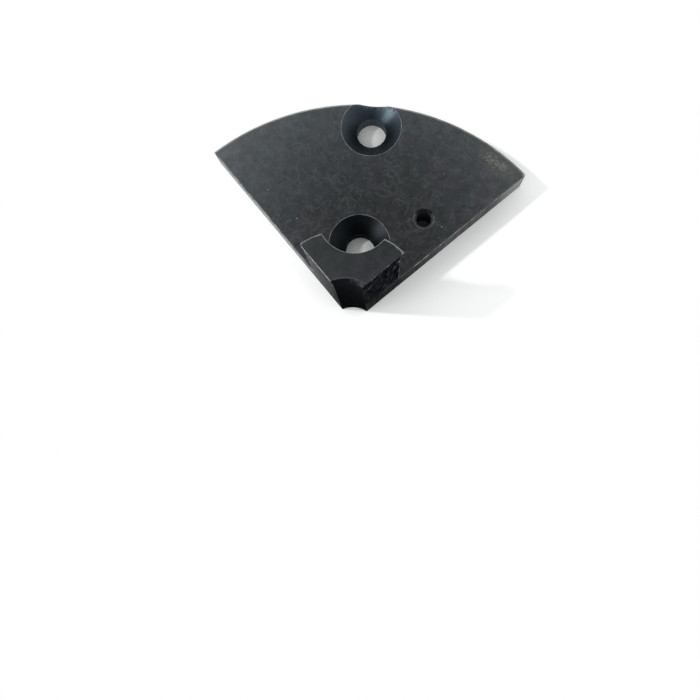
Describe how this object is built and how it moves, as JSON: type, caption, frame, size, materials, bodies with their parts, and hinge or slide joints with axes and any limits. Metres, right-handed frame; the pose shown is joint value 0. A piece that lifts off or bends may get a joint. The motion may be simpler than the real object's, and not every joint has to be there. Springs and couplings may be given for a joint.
{
  "type": "spigot chuck jaw",
  "caption": "Quarter-disc jaw of a woodturning lathe chuck, with countersunk screw holes and a raised dovetailed post that grips a small turned spigot or recess.",
  "frame": {"origin": "midway between the two fixing screw holes, on the jaw's flat underside", "axes": "+Z out of the clamping side, along the screws and parallel to the chuck's axis; +Y away from the chuck's axis along the jaw's centreline; +X to the right, towards the tapped hole. The chuck's axis stands at x = 0, y = -31.95 mm"},
  "size_m": [0.0696, 0.0458, 0.0254],
  "materials": {
    "blackened_steel": "blackened machined steel, worn bright along the edges"
  },
  "bodies": {
    "root": {"jaw": "blackened_steel"}
  },
  "joints": []
}
